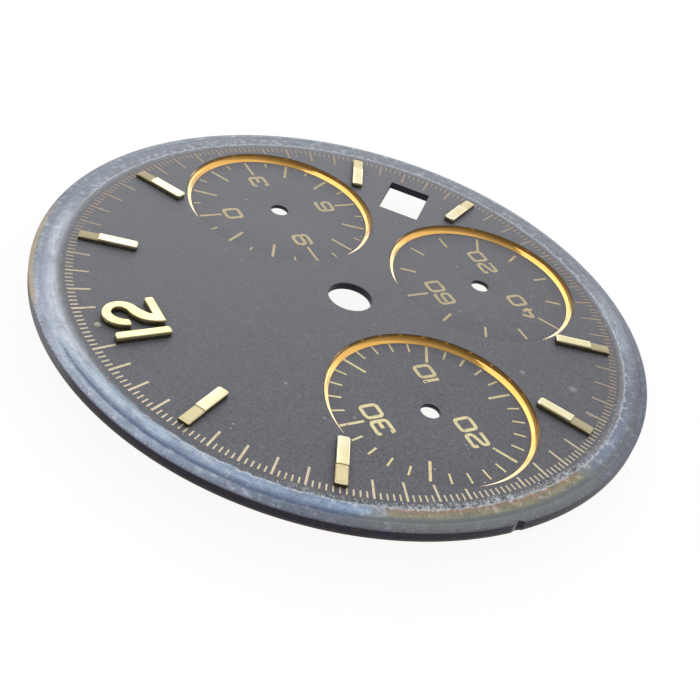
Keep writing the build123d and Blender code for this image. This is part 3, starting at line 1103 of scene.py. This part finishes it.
def raised_figure(name, outline, places, node):
    """A figure with softened edges, from a filled curve, on two pins."""
    curve = bpy.data.curves.new(name, "CURVE")
    curve.dimensions = "2D"
    curve.fill_mode = "BOTH"
    height = numeral_top_z - face_z
    curve.extrude = height / 2 - numeral_edge
    curve.bevel_depth = numeral_edge
    curve.offset = -numeral_edge
    curve.bevel_resolution = 4
    line = curve.splines.new("POLY")
    line.points.add(len(outline) - 1)
    for vertex, (x, y) in zip(line.points, outline):
        vertex.co = (x, y, 0, 1)
    line.use_cyclic_u = True
    holder = new_object(name + "_curve", curve)
    mesh = final_mesh(holder)
    bpy.data.objects.remove(holder)
    bm = bmesh.new()
    bm.from_mesh(mesh)
    bmesh.ops.translate(bm, verts=bm.verts, vec=(0, 0, face_z + height / 2))
    pins(bm, places)
    made = piece(name, bm, "gold_marks", figure_gold, stands_for=[node])
    flat_caps(made.data)


def build_dot():
    """The small domed dot of paste above the figures."""
    radius, rise = (dot_high.x - dot_low.x) / 2, dot_high.z - dot_low.z
    centre = ((dot_low + dot_high) / 2).xy
    ball_r = (radius * radius + rise * rise) / (2 * rise)
    dome = []
    for step in range(13):
        across = radius * (1 - step / 12)
        dome.append((across, dot_low.z + rise - ball_r + math.sqrt(max(0, ball_r ** 2 - across ** 2))))
    bm = bmesh.new()
    turn_profile(bm, [(0, dot_low.z), *dome], centre, 48)
    piece("lume_dot", bm, "luminous_paste", dot_paste, stands_for=["lume_dot_12"], sharp_angle=60)


# Printing

def radial_tick(bm, angle, in_r, out_r, width, centre=(0, 0), low=face_z):
    """A straight tick along a radius."""
    ribbon(bm, [circle_point(in_r, angle, centre), circle_point(out_r, angle, centre)], width, low)


def clear_of_counters(angle, in_r, out_r):
    """The radius where a tick can start so that it stays off the counters' rings."""
    counters = [circle_point(counter_pitch_r, hour * 30) for hour in counter_hours]
    while in_r < out_r:
        spot = circle_point(in_r, angle)
        if all((spot - counter).length > ring_out_r + track_ring_gap for counter in counters):
            return in_r
        in_r += clear_step
    return out_r


def build_minute_track():
    """Sixty minutes with four ticks between each pair. The minutes are long, apart from the hours."""
    bm = bmesh.new()
    for step in range(60 * ticks_per_minute):
        angle = 6 * step / ticks_per_minute
        is_minute, is_hour = step % ticks_per_minute == 0, step % (5 * ticks_per_minute) == 0
        long_tick = is_minute and not is_hour
        in_r = clear_of_counters(angle, track_long_in_r if long_tick else track_short_in_r, track_out_r)
        radial_tick(bm, angle, in_r, track_out_r, track_long_w if long_tick else track_short_w)
    piece("minute_track", bm, "gold_marks", track_ink, sharp_angle=20)


def figure_strokes(figure):
    """The strokes of a figure in shares of its width and height, and whether each is closed."""
    return {
        "0": [([(0, 0), (1, 0), (1, 1), (0, 1)], True)],
        "1": [([(1, 0), (1, 1), (0.2, 0.90)], False)],
        "2": [([(0, 0.72), (0, 1), (1, 1), (1, 0.58), (0, 0.34), (0, 0), (1, 0)], False)],
        "3": [([(0, 0.80), (0, 1), (1, 1), (1, 0), (0, 0), (0, 0.20)], False),
              ([(0.38, 0.5), (0.92, 0.5)], False)],
        "4": [([(0.34, 1), (0, 0.50), (0, 0.34), (1, 0.34)], False), ([(0.74, 0), (0.74, 0.74)], False)],
        "6": [([(1, 0.82), (1, 1), (0, 1), (0, 0), (1, 0), (1, 0.56), (0.08, 0.56)], False)],
        "9": [([(0, 0.18), (0, 0), (1, 0), (1, 1), (0, 1), (0, 0.44), (0.92, 0.44)], False)],
    }[figure]


def print_figures(bm, text, centre):
    """Square rounded figures, centred on a point of a counter's floor. A second stroke lies higher."""
    widths = [figure_one_w if figure == "1" else figure_w for figure in text]
    x = centre[0] - (sum(widths) + figure_gap * (len(text) - 1)) / 2
    bottom = centre[1] - figure_h / 2 + figure_stroke / 2
    for figure, width in zip(text, widths):
        left = x + figure_stroke / 2
        span_x, span_y = width - figure_stroke, figure_h - figure_stroke
        for count, (shares, closed) in enumerate(figure_strokes(figure)):
            line = [(left + u * span_x, bottom + v * span_y) for u, v in shares]
            low = floor_z + count * ink_t / 5
            ribbon(bm, rounded(line, figure_corner_r, 5, closed), figure_stroke, low, closed)
        x += width + figure_gap


def print_counter(hour, tick_centre, count, every, short_tick, texts, places):
    """A counter's ticks, with a long one every so many, and its figures.

    The short tick is given as its inner radius, outer radius and width.
    """
    long_tick = (counter_long_in_r, counter_tick_out_r, counter_long_w)
    bm = bmesh.new()
    for step in range(count):
        tick = short_tick if step % every else long_tick
        radial_tick(bm, 360 * step / count, *tick, tick_centre, floor_z)
    for text, place in zip(texts, places):
        print_figures(bm, text, place)
    piece(f"printing_{hour}", bm, "gold_marks", counter_ink, sharp_angle=20)


def build_counter_printing():
    """Ticks and figures on the three counters. The ticks at 9 and 6 are printed a little off centre."""
    nine, six, three = (circle_point(counter_pitch_r, hour * 30) for hour in (9, 6, 3))
    places = [(nine.x + x, nine.y + y) for x, y in nine_pair_places]
    short_tick = (counter_short_in_r, counter_tick_out_r, counter_short_w)
    print_counter(9, nine + nine_print_shift, 30, 5, short_tick, ("30", "10", "20"), places)
    places = [(six.x + x, six.y + y) for x, y in six_pair_places]
    short_tick = (six_short_in_r, six_short_out_r, counter_long_w)
    print_counter(6, six + six_print_shift, 12, 4, short_tick, ("60", "20", "40"), places)
    places = [circle_point(single_figure_r, angle, three) for angle in (0, 90, 180, 270)]
    short_tick = (half_tick_in_r, counter_tick_out_r, counter_short_w)
    print_counter(3, three, 24, 2, short_tick, ("0", "3", "6", "9"), places)


# Flakes

def build_flakes():
    """Small crusts along the ragged edge of the lacquer, thickest between 8 and 10, and one pale flake near 9
    that paints a glint.
    """
    draw = random.Random(flake_seed)
    bm = bmesh.new()
    for _ in range(flake_count):
        angle = draw.gauss(*flake_angle) if draw.random() < flake_near_share else draw.uniform(0, 360)
        radius = min(max(draw.gauss(*flake_place_r), flake_in_r), flake_out_r)
        centre = circle_point(radius, angle)
        size = flake_r * draw.uniform(*flake_size_shares)
        count = draw.randint(*flake_corners)
        outline = []
        for k in range(count):
            reach = size * draw.uniform(*flake_reach_shares)
            outline.append(centre + circle_point(reach, 360 * k / count))
        base = face_z - flake_sink - max(0, radius - rim_in_r) * rim_step / rim_groove_in
        prism(bm, list(reversed(outline)), base, base + size * draw.uniform(*flake_height_shares))
    # Painted glint: a lone pale flake
    lone = [Vector(glint_flake) + circle_point(glint_flake_r, -60 * k) for k in range(6)]
    prism(bm, lone, face_z - ink_t, face_z + flake_r)
    piece("rim_flakes", bm, "dial_lacquer", rim_salt, sharp_angle=40)


# Feet

def build_foot(name, side):
    """A copper foot, with a round base where it is soldered on."""
    corners = [(0, 0), (foot_base_r, 0), (foot_base_r, -foot_base_h), (foot_r, -foot_base_h),
               (foot_r, foot_end_z), (0, foot_end_z)]
    bm = bmesh.new()
    turn_profile(bm, rounded(corners, foot_rounds, 4), (side * foot_x, side * foot_y), 64)
    piece(f"foot_{name}", bm, "copper_feet", foot_copper, stands_for=[f"dial_foot_{name}"])


build_plate()
for hour in counter_hours:
    build_counter(hour)
for hour in baton_hours:
    build_baton(hour)
    build_lume(hour)
one_x = (one_low.x + one_high.x) / 2
one_pins = [(one_x, one_low.y + pin_inset), (one_x, one_high.y - pin_inset)]
raised_figure("figure_one", one_outline(), one_pins, "numeral_one")
raised_figure("figure_two", *two_outline(), "numeral_two")
build_dot()
build_minute_track()
build_counter_printing()
build_flakes()
build_foot("a", 1)
build_foot("b", -1)


# Studio

def build_floor():
    """A pale floor under the feet. The camera and mirrors see it near white, and it keeps the shadow."""
    bm = bmesh.new()
    square = rectangle(-floor_reach, -floor_reach, floor_reach, floor_reach)
    prism(bm, square, foot_end_z - floor_t, foot_end_z)
    floor = new_object("floor", finish_mesh(bm, "floor", 30))
    made = bpy.data.materials.new("pale_studio_floor")
    add = node_adder(made)
    seen = add("LightPath", {}).outputs
    mirrored = add("Math", {0: seen["Is Glossy Ray"], 1: seen["Is Transmission Ray"]}, operation="MAXIMUM")
    shown = add("Math", {0: seen["Is Camera Ray"], 1: mirrored}, operation="MAXIMUM")
    plain = add("BsdfDiffuse", {"Color": "#e6e6e6"})
    faint = add("BsdfDiffuse", {"Color": "#616161"})
    white = add("Emission", {"Color": "#ffffff", "Strength": floor_glow})
    lit = add("AddShader", {0: faint, 1: white})
    add("OutputMaterial", {"Surface": add("MixShader", {0: shown, 1: plain, 2: lit})})
    floor.data.materials.append(made)


def build_world():
    """Soft white room light. The camera sees white, and mirrors a room that is dim above and behind it."""
    world = bpy.data.worlds.new("studio")
    bpy.context.scene.world = world
    add = node_adder(world)
    seen = add("LightPath", {}).outputs
    ray = add("TexCoord", {}).outputs["Generated"]
    toward = add("VectorMath", {0: ray, 1: direction(bright_side, bright_height)}, operation="DOT_PRODUCT")
    toward = add("Math", {0: toward, 1: 0.5, 2: 0.5}, operation="MULTIPLY_ADD")
    room = add("ValToRGB", {"Fac": toward}, room_tones)
    backdrop = add("Background", {"Color": room, "Strength": room_mirrored})
    white = add("Background", {"Color": "#ffffff", "Strength": 1.0})
    light = add("Background", {"Color": "#ffffff", "Strength": room_light})
    mirrored = add("Math", {0: seen["Is Glossy Ray"], 1: seen["Is Transmission Ray"]}, operation="MAXIMUM")
    unseen = add("MixShader", {0: mirrored, 1: light, 2: backdrop})
    add("OutputWorld", {"Surface": add("MixShader", {0: seen["Is Camera Ray"], 1: unseen, 2: white})})


def softbox(name, angle, elevation, width, height, level, mirrored=True, lights=True):
    """A lamp that faces the dial and looks as bright as its level, where 1 is white."""
    lamp = bpy.data.lights.new(name, "AREA")
    lamp.shape = "RECTANGLE"
    lamp.size = width * MM
    lamp.size_y = height * MM
    lamp.energy = level * math.pi * width * height * MM * MM
    made = new_object(name, lamp)
    away = direction(angle, elevation)
    made.location = away * lamp_distance * MM
    made.rotation_euler = away.to_track_quat("Z", "Y").to_euler()
    made.visible_glossy = mirrored
    made.visible_diffuse = lights
    made.visible_camera = False
    return made


def build_camera():
    """The photograph's view, close above the dial on its 10 o'clock side."""
    lens = bpy.data.cameras.new("camera")
    lens.sensor_width = sensor_mm
    lens.lens = sensor_mm * camera_focal_px / image_px
    lens.clip_start = 0.001
    lens.clip_end = 10
    made = new_object("camera", lens)
    made.location = camera_place * MM
    look = (camera_aim - camera_place).to_track_quat("-Z", "Y").to_matrix()
    made.rotation_euler = (look @ Matrix.Rotation(math.radians(camera_roll), 3, "Z")).to_euler()
    bpy.context.scene.camera = made


build_floor()
build_world()
softbox("back_softbox", 128, 40, 330, 330, 1.3, mirrored=False)
softbox("side_card", 108, 32.5, 170, 115, 0.85, lights=False)
softbox("low_strip", 136, 11, 640, 165, 0.64, lights=False)
softbox("far_card", 168, 26, 100, 130, 0.60, lights=False)
overhead = softbox("overhead_card", 0, 90, 342, 540, 1.3, lights=False)
overhead.location = overhead_place * MM
overhead.rotation_euler = (0, 0, math.radians(overhead_turn))
build_camera()
bpy.context.scene.view_settings.view_transform = "Standard"
